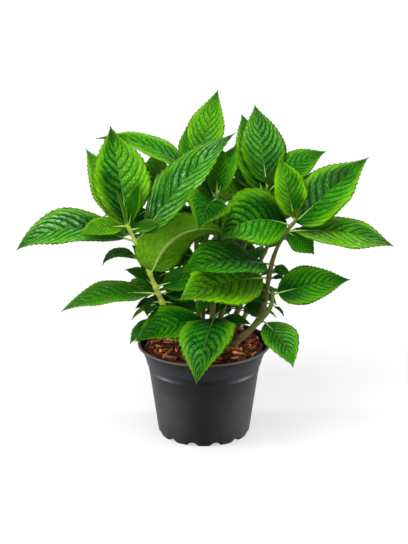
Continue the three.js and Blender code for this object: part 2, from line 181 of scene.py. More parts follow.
class Skin:
    # a mesh of many small sheets, each a bent grid with its own cell of the baked picture; cells is how many
    # rows and columns of them there are, which must come to at least one for each sheet
    def __init__(self, pattern, cells):
        self.bm = bmesh.new()
        self.pattern = self.bm.loops.layers.uv.new(pattern)
        self.bake = self.bm.loops.layers.uv.new("OFBake")
        self.tint = self.bm.loops.layers.float_color.new("tint")
        self.traits = self.bm.loops.layers.float_color.new("traits")
        self.veins = self.bm.loops.layers.float_color.new("veins")
        self.rows, self.columns = cells
        self.count = 0
        self.welds = {}

    def cell(self, x, y):
        # a place inside this sheet's own cell, clear of its edges
        row, column = divmod(self.count, self.columns)
        return ((column + 0.04 + 0.92 * x) / self.columns, (row + 0.06 + 0.88 * y) / self.rows)

    def sheet(self, along, across, place, tint, traits, course=None):
        # place, tint and course are asked for each vertex or loop; right is the half of the sheet a face is in
        made = bmesh.ops.create_grid(self.bm, x_segments=along, y_segments=across, size=0.5)["verts"]
        spots = {v: (round((v.co.x + 0.5) * along), round((v.co.y + 0.5) * across)) for v in made}
        grid = {spot: v for v, spot in spots.items()}
        for vert, (i, j) in spots.items():
            vert.co = place(i, j)
        for face in {f for v in made for f in v.link_faces}:
            face.smooth = True
            right = sum(spots[v][1] for v in face.verts) > 2 * across
            for loop in face.loops:
                i, j = spots[loop.vert]
                loop[self.pattern].uv = (i / along, j / across)
                loop[self.bake].uv = self.cell(i / along, j / across)
                loop[self.tint] = (*tint(i / along, right), 1)
                loop[self.traits] = (*traits, 1)
                if course:
                    loop[self.veins] = (*course(i, j, right), 1)
        self.count += 1
        return grid

    def tube(self, path, sides, tint, traits):
        # path is a list of (middle, side, up, radius); both ends close to a point
        last = len(path) - 1

        def place(i, j):
            middle, side, up, radius = path[i]
            if i in (0, last):
                radius = 0
            angle = -2 * math.pi * j / sides
            return middle + (side * math.cos(angle) + up * math.sin(angle)) * radius

        grid = self.sheet(last, sides, place, tint, traits)
        for i in range(1, last):
            self.welds[grid[i, sides]] = grid[i, 0]
        for i in (0, last):
            for j in range(1, sides + 1):
                self.welds[grid[i, j]] = grid[i, 0]

    def finish(self, *about):
        bmesh.ops.weld_verts(self.bm, targetmap=self.welds)
        return pieceFrom(self.bm, *about)


# The pot. The fades are heights in metres, where a tint comes in or goes out.
pot = {
    "height": 107, "rimRadius": 75, "lip": 2.6, "wall": 1.8, "floor": 2.5,
    "collarHeight": 23, "collarFootRadius": 64.6, "stepDepth": 1.4, "footRadius": 51.3,
    "underside": ((0, 0.6), (30, 0.6), (33, 0)),  # radius and height of the dished foot
    "bead": ((-8, 0), (-7.4, 0.35), (-6.6, 0.35), (-6, 0), (-1.6, 0)),  # height from the step, how far out
    "flare": ((-0.5, -0.4), (0, 0), (0.3, 0.8), (1.4, 6), (4.2, 13)),  # out and up from the collar's foot
    "notches": 12, "notchWidth": 12, "notchHeight": 4.2, "notchInset": 4, "notchReach": 6,
    "steps": 144, "crease": 0.6,
    "black": (0.0041, 0.0041, 0.0041), "grey": (0.0078, 0.0078, 0.0080),
    # the collar colour is a painted reflection: a lighter bluish band on the upward-sloping collar
    "collarSheenTint": (0.013, 0.016, 0.021), "collarSheenFade": (0.083, 0.086), "collarSheenEnd": (0.094, 0.102),
    # one light grey serves real scuffs and a painted highlight, a thin light line along the lip
    "scuffAndHighlightTint": (0.24, 0.21, 0.18), "lipHighlightFade": (0.1035, 0.1062),
    "collarSheenStrength": 0.4, "scuffStrength": 0.08, "lipHighlightStrength": 0.25,
}


def bodyRadius(z):
    # the outside of the tapered body at a height above the foot
    stepZ = pot["height"] - pot["collarHeight"]
    top = pot["collarFootRadius"] - pot["stepDepth"]
    return pot["footRadius"] + (top - pot["footRadius"]) * z / stepZ


def potFinish():
    finish = Finish("potPlastic")
    here = finish.here()
    x, y, z = finish.parts(here)
    cloud = finish.noise(here, 30, 5)
    speck = finish.noise(here, 1400, 2)
    scuff = finish.noise(finish.join(x * 6, y * 6, z * 90), 8.0, 5).ease(0.62, 0.8)
    # painted highlight: a thin light line along the top of the lip
    lip = z.ease(*pot["lipHighlightFade"])
    # where the painted reflection on the upward-sloping collar comes in and goes out
    collar = z.ease(*pot["collarSheenFade"]) * (1 - z.ease(*pot["collarSheenEnd"]))
    colour = finish.mix(cloud.ease(0.35, 0.75) * 0.6, pot["black"], pot["grey"])
    # painted reflection: the collar band is lightened and cooled
    colour = finish.mix(collar * pot["collarSheenStrength"], colour, pot["collarSheenTint"])
    # real scuffs, and the painted highlight along the lip, in the same light grey
    colour = finish.mix(scuff * pot["scuffStrength"] + lip * pot["lipHighlightStrength"], colour, pot["scuffAndHighlightTint"])
    roughness = 0.38 + 0.10 * cloud + 0.08 * speck
    height = speck * 0.5 + cloud * 0.3
    return finish.done(colour, roughness, height, 0.0003, 0.5, Specular_IOR_Level=0.10)


def potProfile():
    # radius and height, from the middle of the foot up the outside, over the lip and down the inside
    foot, collar, rim, top = pot["footRadius"], pot["collarFootRadius"], pot["rimRadius"], pot["height"]
    lip, wall, floor = pot["lip"], pot["wall"], pot["floor"]
    stepZ = top - pot["collarHeight"]
    underside = [*pot["underside"], (foot - 3.2, 0), (foot - 1.1, 0.5), (foot - 0.2, 1.8)]
    body = [(bodyRadius(z), z) for z in (5, 30, 55)]
    bead = [(bodyRadius(stepZ + z) + out, stepZ + z) for z, out in pot["bead"]]
    flare = [(collar + out, stepZ + up) for out, up in pot["flare"]]
    roll = [(rim - lip - 0.4, top - lip - 0.6), (rim - 0.9, top - lip), (rim - 0.2, top - lip + 0.4),
            (rim, top - 1.2), (rim - 0.4, top - 0.3), (rim - 1.2, top), (rim - lip, top - 0.2),
            (rim - lip - 0.6, top - 1.4)]
    inside = [(collar + 1.2 - wall, stepZ + 6), (bodyRadius(stepZ) - wall, stepZ - 2),
              (foot + 0.4 - wall, floor), (0, floor)]
    return underside + body + bead + flare + roll + inside


def makePot():
    bm = bmesh.new()
    verts = [bm.verts.new((x * mm, 0, z * mm)) for x, z in potProfile()]
    edges = [bm.edges.new(pair) for pair in zip(verts, verts[1:])]
    bmesh.ops.spin(bm, geom=verts + edges, axis=(0, 0, 1), cent=(0, 0, 0), steps=pot["steps"],
                   angle=2 * math.pi, use_merge=True)
    bmesh.ops.remove_doubles(bm, verts=bm.verts, dist=1e-6)
    # drainage notches round the foot
    for vert in bm.verts:
        radius, z = math.hypot(vert.co.x, vert.co.y) / mm, vert.co.z / mm
        if radius < pot["footRadius"] - pot["notchInset"] or z > pot["notchReach"]:
            continue
        turn = math.atan2(vert.co.y, vert.co.x) * pot["notches"] / (2 * math.pi) - 0.5
        away = abs(turn - round(turn)) * 2 * math.pi * pot["footRadius"] / pot["notches"]
        share = max(0, 1 - (2 * away / pot["notchWidth"]) ** 2) ** 0.5
        vert.co.z = max(vert.co.z, share * pot["notchHeight"] * mm)
    for face in bm.faces:
        face.smooth = True
    for edge in bm.edges:
        if len(edge.link_faces) == 2 and edge.calc_face_angle(0) > pot["crease"]:
            edge.smooth = False
    return pieceFrom(bm, "potShell", potFinish(), "pot_plastic", ["pot"])


# The bark: lumpy ground with loose shreds laid over it. Lengths, widths and ends are a least share and how
# much the dice add to it. Beyond rimBand of the way out the shreds lie along the rim.
bark = {
    "edgeZ": 99, "crownZ": 113, "dome": 2.4, "inset": 4.6,
    "rings": 40, "spokes": 96, "lump": 2.2, "groundDrop": 2.4, "hiddenRadius": 50, "hiddenZ": 60,
    "chips": 620, "length": 24, "lengths": (0.35, 0.9), "width": 5.0, "widths": (0.45, 0.8),
    "ends": (0.18, 0.3), "corners": 5, "stretch": (1.3, 0.8), "reach": 0.955, "rimBand": 0.78, "rimLength": 16,
    "rimWander": 0.1, "rimGap": 1, "tilt": 0.5, "bow": 3, "ragged": 1.1, "sunk": 0.6, "lift": 1.8,
    "toneSkew": 1.25, "fibreShift": (0.37, 0.21), "cells": (25, 25), "seed": 11,
    "chipTones": [(0.0, (0.004, 0.001, 0.0005)), (0.35, (0.050, 0.008, 0.003)), (0.65, (0.330, 0.070, 0.016)),
                  (1.0, (0.950, 0.420, 0.150))],
    "chipDark": (0.04, 0.008, 0.003), "chipLight": (0.46, 0.130, 0.040), "fibre": 0.45,
    "groundDark": (0.006, 0.002, 0.001), "groundLight": (0.050, 0.012, 0.005),
    "groundTint": (0.05, 0.015, 0.008),
}


def barkHeight(distance):
    share = min(distance / (pot["rimRadius"] - pot["wall"]), 1)
    return bark["crownZ"] - (bark["crownZ"] - bark["edgeZ"]) * share ** bark["dome"]


def barkFinish(name, dark, light, scale, fibreMix=0):
    # with fibreMix the dark and light show as fibres over each shred's own tint
    finish = Finish(name)
    along, around, _ = finish.parts(finish.uv("chipUv"))
    fibre = finish.noise(finish.join(along * 3, around * 26), 1.0, 5)
    rough = finish.noise(finish.here(), scale, 6)
    colour = finish.mix(rough.ease(0.3, 0.75), dark, light)
    if fibreMix:
        colour = finish.mix(fibre.ease(0.3, 0.7) * fibreMix, finish.trait("tint"), colour)
    height = fibre * 0.6 + rough * 0.8
    return finish.done(colour, 0.75 + 0.2 * rough, height, 0.0012, 1.0, Specular_IOR_Level=0.25)


def layGround(inner, dice):
    # a lumpy dome whose edge turns down out of sight
    rings, spokes = bark["rings"], bark["spokes"]
    ground = Skin("chipUv", (1, 1))

    def place(i, j):
        angle = 2 * math.pi * j / spokes
        reach = inner * min(i, rings) / rings
        lump = dice.random() * bark["lump"] if 0 < i < rings else 0
        z = barkHeight(reach) - bark["groundDrop"] + lump
        if i > rings:
            reach, z = bark["hiddenRadius"], bark["hiddenZ"]
        return Vector((reach * math.cos(angle) * mm, reach * math.sin(angle) * mm, z * mm))

    grid = ground.sheet(rings + 1, spokes, place, lambda s, right: bark["groundTint"], (0, 0, 0))
    for i in range(1, rings + 2):
        ground.welds[grid[i, spokes]] = grid[i, 0]
    for j in range(1, spokes + 1):
        ground.welds[grid[0, j]] = grid[0, 0]
    ground.finish("barkGround", barkFinish("barkGround", bark["groundDark"], bark["groundLight"], 260),
                  "bark_chips", ["bark_bed"])


def diced(span, dice):
    # a least share, and a random part of more on top
    least, more = span
    return least + more * dice.random()


def faceCorner(m, count):
    # where corner m of a face lies in a unit square
    if count == 4:
        return ((0, 0), (1, 0), (1, 1), (0, 1))[m]
    angle = m * 2 * math.pi / count
    return 0.5 + 0.5 * math.cos(angle), 0.5 + 0.5 * math.sin(angle)


def layChip(chips, n, inner, dice):
    # one shred, a bent and ragged cone laid on the ground
    reach = inner * math.sqrt(dice.random()) * bark["reach"]
    angle = dice.random() * 2 * math.pi
    length = bark["length"] * diced(bark["lengths"], dice)
    wide = bark["width"] * diced(bark["widths"], dice)
    heading = dice.random() * anyTurn
    if reach > bark["rimBand"] * inner:
        heading = angle + math.pi / 2 + (heading - anyTurn / 2) * bark["rimWander"]
        length = min(length, bark["rimLength"])
    else:
        length = min(length, 2 * (inner - bark["rimGap"] - reach))
    sides = bark["corners"]
    made = bmesh.ops.create_cone(chips.bm, cap_ends=True, cap_tris=False, segments=sides, depth=1,
                                 radius1=0.5, radius2=diced(bark["ends"], dice))["verts"]
    turn = Matrix.Rotation(heading, 3, "Z") @ Matrix.Rotation((dice.random() - 0.5) * bark["tilt"], 3, "Y")
    turn = turn @ Matrix.Rotation(math.pi / 2, 3, "Y") @ Matrix.Rotation(dice.random() * anyTurn, 3, "Z")
    height = barkHeight(reach) - bark["sunk"] + bark["lift"] * dice.random()
    middle = Vector((reach * math.cos(angle), reach * math.sin(angle), height))
    bow = (dice.random() - 0.5) * bark["bow"]
    thick, thin = bark["stretch"]
    for vert in made:
        local = Vector((vert.co.x * wide * thick, vert.co.y * wide * thin, vert.co.z * length))
        local += Vector((dice.random() - 0.5, dice.random() - 0.5, dice.random() - 0.5)) * bark["ragged"]
        local.x += bow * vert.co.z ** 2
        vert.co = (middle + turn @ local) * mm
    tint = blendTones(bark["chipTones"], dice.random() ** bark["toneSkew"])
    shiftX, shiftY = bark["fibreShift"]
    for k, face in enumerate(dict.fromkeys(f for v in made for f in v.link_faces)):
        count = len(face.loops)
        for m, loop in enumerate(face.loops):
            x, y = faceCorner(m, count)
            loop[chips.pattern].uv = (x + n * shiftX, y + k * shiftY)
            loop[chips.bake].uv = chips.cell((k + 0.08 + 0.84 * x) / (sides + 2), y)
            loop[chips.tint] = (*tint, 1)
            loop[chips.traits] = (dice.random(), 0, 0, 1)
    chips.count += 1


def makeBark():
    dice = random.Random(bark["seed"])
    inner = pot["rimRadius"] - pot["lip"] - bark["inset"]
    layGround(inner, dice)
    chips = Skin("chipUv", bark["cells"])
    for n in range(bark["chips"]):
        layChip(chips, n, inner, dice)
    finish = barkFinish("barkChips", bark["chipDark"], bark["chipLight"], 320, bark["fibre"])
    chips.finish("barkChips", finish, "bark_chips", ["bark_bed"])


# The shoots. Each is a cane that leans towards two guide points and ends at its tip, with leaves on nodes at
# shares of its length. A leaf says where it points round the plant, how steeply it rises, its length, how far
# it bends down by its tip, its roll and its stalk. Tone runs from dark green at 0 to yellow-green at 1. The
# last three settings are painted light: a yellow-green painted highlight on the margin, a pale cool painted
# sheen that stands for reflected light and also sets a real clear coat, and painted light and shade of the
# fold, which lightens one half of the leaf and darkens the other by that much. A leaf with no tone gets one
# from the dice.
def leaf(toward, rise, length, droop=30, roll=0, stalk=12, sweep=0, share=0.54, fold=16, belly=0.78, tone=None,
         edgeLight=0.5, sheenLevel=0.25, lean=0.0):
    return dict(toward=toward, rise=rise, length=length, droop=droop, roll=roll, stalk=stalk, sweep=sweep,
                width=length * share, fold=fold, belly=belly, tone=tone, edgeLight=edgeLight, sheenLevel=sheenLevel,
                lean=lean)


shoots = {
    "left": {
        "foot": (-28, -4),
        "guides": ((-44, -7, 150), (-62, -11, 198)),
        "tip": (-85, -14, 250),
        "nodes": [
            (0.38, leaf(-14, -2, 40, 30, 46, 7, share=0.6), leaf(196, 2, 26, 40, -34, 6)),
            (0.45, leaf(187, 4, 101, 39, -19, 12, share=0.42, tone=0.68, edgeLight=0.5, sheenLevel=0.4),
             leaf(-6, 12, 52, 40, 44, 8, share=0.62, tone=0.15, edgeLight=0.2, sheenLevel=0)),
            (0.51, leaf(150, 34, 36, 50, -10, 8, share=0.6, tone=0.5, edgeLight=0.3, sheenLevel=0.3),
             leaf(-4, 20, 50, 40, 44, 8, share=0.62, tone=0.5, edgeLight=0.3, sheenLevel=0)),
            (0.62, leaf(-10, 66, 112, 104, -62, 5, share=0.6, fold=26, belly=0.58,
                        tone=1.1, edgeLight=0.4, sheenLevel=0, lean=-0.16),
             leaf(158, 66, 34, 30, -10, 5, share=0.7, tone=0.3, edgeLight=0.4, sheenLevel=0.1)),
            (0.72, leaf(186, 30, 46, 118, -24, 10, share=0.36, tone=0.4, edgeLight=0.2, sheenLevel=0.5),
             leaf(84, 26, 26, 40, 10, 6)),
            (0.88, leaf(184, 21, 129, 72, -30, 12, share=0.41, belly=0.98,
                        tone=0.46, edgeLight=0.6, sheenLevel=0.6, lean=0.12),
             leaf(8, 54, 151, 18, 28, 14, share=0.42, tone=0.56, edgeLight=0.4, sheenLevel=1, lean=-0.14)),
            (0.97, leaf(142, 57, 96, 10, -20, 8, share=0.5, tone=1.05, edgeLight=0.9, sheenLevel=0.8),
             leaf(-14, 18, 34, 10, 44, 5, share=0.5, tone=0.78, edgeLight=0.5, sheenLevel=0.2)),
            (1, leaf(114, 68, 108, 8, 0, 6, share=0.65, tone=0.56, edgeLight=0.9, sheenLevel=0.2, lean=-0.26),
             leaf(212, 8, 54, 24, -30, 8, tone=1.1, edgeLight=0.5, sheenLevel=0)),
            (1, leaf(204, 76, 42, 8, 0, 4, share=0.42, tone=0.42, edgeLight=0.8, sheenLevel=0),
             leaf(50, 72, 46, 12, 0, 5, share=0.5, tone=0.5, edgeLight=0.6, sheenLevel=0)),
        ],
    },
    "leftLow": {
        "foot": (-24, -18),
        "guides": ((-32, -18, 122), (-46, -18, 138)),
        "tip": (-57, -18, 158),
        "nodes": [
            (0.7, leaf(214, -12, 44, 46, -6, 6, share=0.56, tone=0.3, edgeLight=0.3, sheenLevel=0.3)),
            (1, leaf(190, -24, 24, 40, 60, 6, share=0.3, tone=0.2, edgeLight=0.2, sheenLevel=0.1),
             leaf(-100, 14, 32, 50, 0, 6, tone=0.2, edgeLight=0.2, sheenLevel=0.1)),
        ],
    },
    "frontLow": {
        "foot": (4, -20),
        "guides": ((6, -24, 120), (8, -28, 136)),
        "tip": (13, -32, 150),
        "nodes": [
            (0.6, leaf(-155, -10, 36, 60, 0, 8, tone=0.3, edgeLight=0.2, sheenLevel=0.3), leaf(150, 20, 26, 40, 0, 8)),
            (0.85, leaf(206, 6, 87, 38, -22, 12, share=0.64, tone=0.24, edgeLight=0.4, sheenLevel=0),
             leaf(0, 2, 34, 34, 20, 9, tone=0.3, edgeLight=0.4, sheenLevel=0.1)),
            (1, leaf(-99, 0, 107, 74, 4, 8, share=0.6, sweep=-12, tone=0.2, edgeLight=0.7, sheenLevel=0.1, lean=-0.1),
             leaf(30, 50, 26, 30, 0, 5)),
        ],
    },
    "frontMid": {
        "foot": (8, -2),
        "guides": ((10, -4, 150), (12, -8, 210)),
        "tip": (14, -12, 286),
        "nodes": [
            (0.36, leaf(-112, 10, 38, 50, 0, 8), leaf(92, 16, 36, 50, 0, 8)),
            (0.53, leaf(20, 4, 36, 50, 20, 8), leaf(112, 10, 26, 50, -20, 6)),
            (0.68, leaf(-118, 16, 40, 50, 0, 8), leaf(62, 22, 46, 50, 0, 8)),
            (0.83, leaf(70, 34, 30, 50, 0, 6), leaf(158, 30, 44, 50, -20, 8)),
            (0.98, leaf(-102, 12, 90, 46, -22, 6, share=0.6, tone=0.22, edgeLight=0.6, sheenLevel=0),
             leaf(125, 40, 62, 30, 0, 8)),
            (1, leaf(84, 74, 56, 8, 0, 4, share=0.56, tone=0.7, edgeLight=0.1, sheenLevel=0),
             leaf(38, 66, 56, 8, 0, 5, share=0.76, tone=0.72, edgeLight=0.4, sheenLevel=0.2)),
        ],
    },
    "right": {
        "foot": (30, -2),
        "guides": ((95, -8, 142), (48, -14, 197)),
        "tip": (103, -18, 258),
        "nodes": [
            (0.6, leaf(210, 7, 108, 30, -36, 8, share=0.7, tone=1, edgeLight=0.95, sheenLevel=0.05, lean=0.1),
             leaf(-34, 16, 18, 30, 20, 4)),
            (0.7, leaf(212, 17, 112, 34, -16, 8, share=0.68, tone=0.4, edgeLight=0.2, sheenLevel=0.1, lean=0.12),
             leaf(-15, -24, 14, 40, 10, 4)),
            (0.93, leaf(-4, 3, 113, 30, 26, 8, share=0.43, fold=7, belly=0.98,
                        tone=0.84, edgeLight=0.6, sheenLevel=0.4, lean=-0.16),
             leaf(-12, -32, 38, 20, 50, 2, share=0.8, tone=0.5, edgeLight=0.3, sheenLevel=0)),
            (0.97, leaf(24, 37, 110, 4, 24, 6, share=0.65, belly=0.66,
                        tone=0.38, edgeLight=0.9, sheenLevel=0.1, lean=-0.2),
             leaf(200, 22, 86, 80, -44, 5, share=0.9, tone=0.34, edgeLight=0.6, sheenLevel=0.05, lean=0.3)),
            (1, leaf(132, 72, 68, 8, 0, 5, share=0.76, tone=0.9, edgeLight=0.9, sheenLevel=0, lean=0.14),
             leaf(-80, 60, 20, 20, 0, 5)),
            (0.66, leaf(6, -4, 20, 40, 44, 4, share=0.7)),
        ],
    },
    "rightLow": {
        "foot": (28, -20),
        "guides": ((60, -24, 142), (78, -28, 148)),
        "tip": (76, -32, 178),
        "nodes": [
            (0.48, leaf(-50, -21, 63, 54, 15, 8, share=0.66, tone=0.56, edgeLight=0.6, sheenLevel=0.3, lean=0.1),
             leaf(140, 20, 24, 40, 0, 6)),
            (0.8, leaf(-20, -30, 16, 40, 0, 4, tone=0.3, edgeLight=0.2, sheenLevel=0), leaf(150, 10, 30, 40, 0, 6)),
            (0.97, leaf(6, 13.5, 82, 12, 46, 6, share=0.58, belly=0.68,
                        tone=0.46, edgeLight=0.5, sheenLevel=0, lean=-0.08),
             leaf(150, 30, 26, 40, 0, 6)),
        ],
    },
    "centre": {
        "foot": (-4, 8),
        "guides": ((-8, 12, 170), (-10, 20, 240)),
        "tip": (-7.5, 39, 297),
        "nodes": [
            (0.36, leaf(172, 8, 32, 50, -20, 8), leaf(58, 8, 34, 50, 0, 8)),
            (0.7, leaf(146, 14, 56, 40, -20, 8), leaf(-20, 6, 60, 36, 48, 6, share=0.62)),
            (0.85, leaf(98, 20, 88, 60, 0, 12), leaf(-84, 10, 30, 40, 0, 8)),
            (0.98, leaf(168, 34, 118, 48, -16, 8, share=0.34, tone=0.7, edgeLight=0.9, sheenLevel=0.4, lean=0.12),
             leaf(-32, 30, 22, 40, 10, 8)),
            (1, leaf(57, 67, 92, 8, 0, 5, share=0.55, tone=0.86, edgeLight=0.7, sheenLevel=0.2),
             leaf(112, 58, 50, 10, 0, 6, share=0.7, tone=0.5, edgeLight=0.5, sheenLevel=0.1)),
            (0.5, leaf(184, 8, 54, 40, -52, 3, share=0.6), leaf(-22, 2, 38, 34, 50, 6, share=0.66)),
        ],
    },
    "rightBack": {
        "foot": (12, 12),
        "guides": ((26, 16, 160), (44, 20, 220)),
        "tip": (72, 24, 284),
        "nodes": [
            (0.38, leaf(-16, 6, 32, 46, 20, 7), leaf(78, 8, 56, 56, 0, 10)),
            (0.6, leaf(84, 10, 66, 60, 0, 10), leaf(-70, 20, 24, 40, 0, 7)),
            (0.82, leaf(50, 30, 62, 50, 0, 10), leaf(236, 20, 40, 40, 0, 8)),
            (0.95, leaf(18, 44, 80, 36, 32, 8, share=0.56, tone=0.45, edgeLight=0.5, sheenLevel=0),
             leaf(124, 66, 90, 8, 0, 6, share=0.64, tone=0.66, edgeLight=0.5, sheenLevel=0.2),
             leaf(168, 44, 56, 16, -20, 6, share=0.6, tone=0.1, edgeLight=0.3, sheenLevel=0)),
            (1, leaf(110, 68, 89, 8, 0, 6, share=0.62, tone=0.54, edgeLight=0.4, sheenLevel=0.5, lean=0.14),
             leaf(-60, 60, 30, 20, 0, 5, tone=0.8, edgeLight=0.5, sheenLevel=0)),
            (0.9, leaf(188, 30, 58, 40, -44, 8, share=0.62, tone=1.1, edgeLight=0.2, sheenLevel=0.1)),
        ],
    },
    "backLeft": {
        "foot": (-16, 14),
        "guides": ((-26, 24, 150), (-44, 40, 210)),
        "tip": (-62, 48, 258),
        "nodes": [
            (0.4, leaf(140, 0, 66, 56, 16, 12), leaf(70, 8, 30, 50, -10, 8)),
            (0.6, leaf(90, 10, 92, 64, 0, 12), leaf(-40, 20, 20, 40, 0, 6)),
            (0.82, leaf(166, 24, 58, 56, 20, 10), leaf(36, 16, 50, 50, -14, 10)),
            (1, leaf(118, 36, 90, 60, 0, 8), leaf(-50, 50, 40, 30, 0, 6)),
            (1, leaf(70, 64, 62, 16, 0, 5, tone=0.85, edgeLight=0.2, sheenLevel=0.7), leaf(205, 66, 44, 14, 0, 5)),
            (0.96, leaf(192, -30, 50, 34, -48, 6, share=0.66)),
            (0.27, leaf(188, 6, 40, 34, -48, 8), leaf(-20, 4, 18, 34, 48, 5)),
            (0.5, leaf(184, -22, 48, 40, -48, 7, share=0.64), leaf(112, -6, 60, 60, 0, 10)),
            (0.7, leaf(132, 8, 48, 60, 14, 8)),
        ],
    },
    "back": {
        "foot": (-2, 26),
        "guides": ((-2, 42, 140), (0, 68, 186)),
        "tip": (2, 98, 228),
        "nodes": [
            (0.4, leaf(176, 4, 62, 50, 18, 12), leaf(14, 12, 30, 50, -10, 8)),
            (0.62, leaf(100, -8, 94, 60, 0, 12), leaf(-80, 30, 44, 44, 0, 8)),
            (0.84, leaf(176, 16, 80, 56, 22, 12), leaf(8, 16, 42, 50, -22, 8)),
            (1, leaf(76, 22, 96, 66, 0, 8), leaf(-96, 60, 48, 20, 0, 6)),
            (1, leaf(150, 50, 80, 44, 0, 6), leaf(-20, 56, 50, 30, 0, 5)),
            (0.25, leaf(190, 2, 40, 34, -48, 8), leaf(-14, 2, 28, 34, 48, 5)),
            (0.5, leaf(66, 4, 60, 56, -10, 10)),
            (0.74, leaf(110, 34, 62, 56, 14, 8), leaf(40, 14, 56, 56, -14, 10)),
        ],
    },
    "backRight": {
        "foot": (26, 22),
        "guides": ((42, 38, 142), (64, 58, 184)),
        "tip": (86, 72, 226),
        "nodes": [
            (0.42, leaf(100, 0, 72, 64, 0, 12), leaf(-40, 0, 36, 40, 0, 10)),
            (0.66, leaf(108, 0, 74, 66, -10, 12), leaf(170, 38, 42, 50, -44, 5, share=0.66)),
            (0.86, leaf(88, 8, 66, 60, 0, 10), leaf(-40, 24, 30, 40, 0, 8)),
            (1, leaf(44, 24, 66, 50, -14, 8), leaf(190, 50, 50, 40, 0, 8)),
            (1, leaf(76, 48, 84, 50, 0, 6), leaf(-80, 72, 28, 20, 0, 5)),
            (0.26, leaf(-12, 8, 32, 34, 48, 6, share=0.64), leaf(194, 4, 34, 34, -48, 8)),
            (0.54, leaf(20, 6, 50, 50, -16, 9)),
            (0.76, leaf(64, 10, 60, 56, -8, 10)),
        ],
    },
    "backLow": {
        "foot": (-14, 40),
        "guides": ((-16, 48, 116), (-18, 56, 130)),
        "tip": (-20, 64, 144),
        "nodes": [
            (0.65, leaf(140, 4, 60, 52, 0, 12), leaf(14, 10, 22, 44, 0, 6)),
            (1, leaf(96, 4, 84, 72, 0, 10), leaf(10, 14, 44, 56, 0, 8)),
        ],
    },
    "backLowRight": {
        "foot": (36, 36),
        "guides": ((44, 44, 118), (52, 52, 130)),
        "tip": (58, 60, 140),
        "nodes": [
            (0.65, leaf(0, -6, 28, 50, 0, 8), leaf(170, 8, 36, 44, 0, 8)),
            (1, leaf(58, 0, 82, 70, 0, 10)),
        ],
    },
}


# The canes, thicker at the foot and at each node
cane = {
    "footRadius": 3.8, "tipRadius": 1.9, "flare": 1.35, "flareReach": 0.12, "sunk": 6,
    "nodeShare": 0.985, "ridge": 0.22, "ridgeReach": 0.016, "ridgeMost": 1.3, "waver": 0.05, "wavers": 47,
    "tipShare": 0.985, "tipSlim": 0.85, "steps": 72, "sides": 16, "cells": (37, 4), "seed": 5,
    "tones": {
        "left": [(0, (0.20, 0.13, 0.03)), (0.3, (0.40, 0.48, 0.06)), (1, (0.34, 0.50, 0.06))],
        "right": [(0, (0.20, 0.11, 0.035)), (0.45, (0.12, 0.095, 0.025)), (1, (0.10, 0.14, 0.02))],
        "other": [(0, (0.17, 0.10, 0.03)), (0.3, (0.13, 0.15, 0.03)), (1, (0.08, 0.20, 0.02))],
    },
    "streak": (0.05, 0.035, 0.015), "blotch": (0.16, 0.06, 0.03), "spot": (0.42, 0.36, 0.20),
}


def caneCurve(shoot):
    # the four control points of the cane
    x, y = shoot["foot"]
    foot = Vector((x, y, barkHeight(math.hypot(x, y)) - cane["sunk"]))
    return [foot, *map(Vector, shoot["guides"]), Vector(shoot["tip"])]


def curvePoint(points, t):
    a, b, c, d = points
    return a * (1 - t) ** 3 + b * 3 * t * (1 - t) ** 2 + c * 3 * t * t * (1 - t) + d * t ** 3


def curveTangent(points, t):
    a, b, c, d = points
    return ((b - a) * (1 - t) ** 2 + (c - b) * 2 * t * (1 - t) + (d - c) * t * t).normalized()


def caneRadius(share):
    # from foot to tip, with a flare where it leaves the ground
    flare = 1 + (cane["flare"] - 1) * max(0, 1 - share / cane["flareReach"]) ** 2
    return (cane["footRadius"] + (cane["tipRadius"] - cane["footRadius"]) * share) * flare


def stemFinish():
    # for canes and stalks; bare is 1 on a cane, which has pores and blotches
    finish = Finish("caneBark")
    along, around, _ = finish.parts(finish.uv("stemUv"))
    bare, _, _ = finish.parts(finish.trait("traits"))
    here = finish.here()
    streak = finish.noise(finish.join(along * 30, around * 9), 1.0, 5)
    spots = 1 - finish.cells(here, 420, "F1").ease(0.12, 0.3)
    blotch = finish.noise(here, 160)
    colour = finish.mix(streak.ease(0.35, 0.8) * 0.55, finish.trait("tint"), cane["streak"])
    colour = finish.mix(blotch.ease(0.5, 0.75) * 0.35 * bare, colour, cane["blotch"])
    colour = finish.mix(spots * 0.5 * bare, colour, cane["spot"])
    height = streak * 0.6 + spots * 0.5 * bare
    return finish.done(colour, 0.5 + 0.2 * blotch, height, 0.0008, 0.7, Specular_IOR_Level=0.2)


def growCanes(skin):
    dice = random.Random(cane["seed"])
    steps = cane["steps"]
    for name, shoot in shoots.items():
        points = caneCurve(shoot)
        shares = [node[0] * cane["nodeShare"] for node in shoot["nodes"]]
        phase = dice.random() * 6
        path = []
        for i in range(steps + 3):
            share = min(1, max(0, (i - 1) / steps))
            middle = curvePoint(points, share)
            along = curveTangent(points, share)
            side = Vector((0, 1, 0)).cross(along).normalized()
            swell = sum(math.exp(-(((share - s) / cane["ridgeReach"]) ** 2)) for s in shares)
            radius = caneRadius(share) * (1 + cane["ridge"] * min(swell, cane["ridgeMost"]))
            radius *= 1 + cane["waver"] * math.sin(share * cane["wavers"] + phase)
            if share > cane["tipShare"]:
                radius *= cane["tipSlim"]
            path.append((middle * mm, side, along.cross(side), radius * mm))
        stops = cane["tones"].get(name, cane["tones"]["other"])
        skin.tube(path, cane["sides"], lambda s, right: blendTones(stops, s), (1.0, 0.0, 0.0))


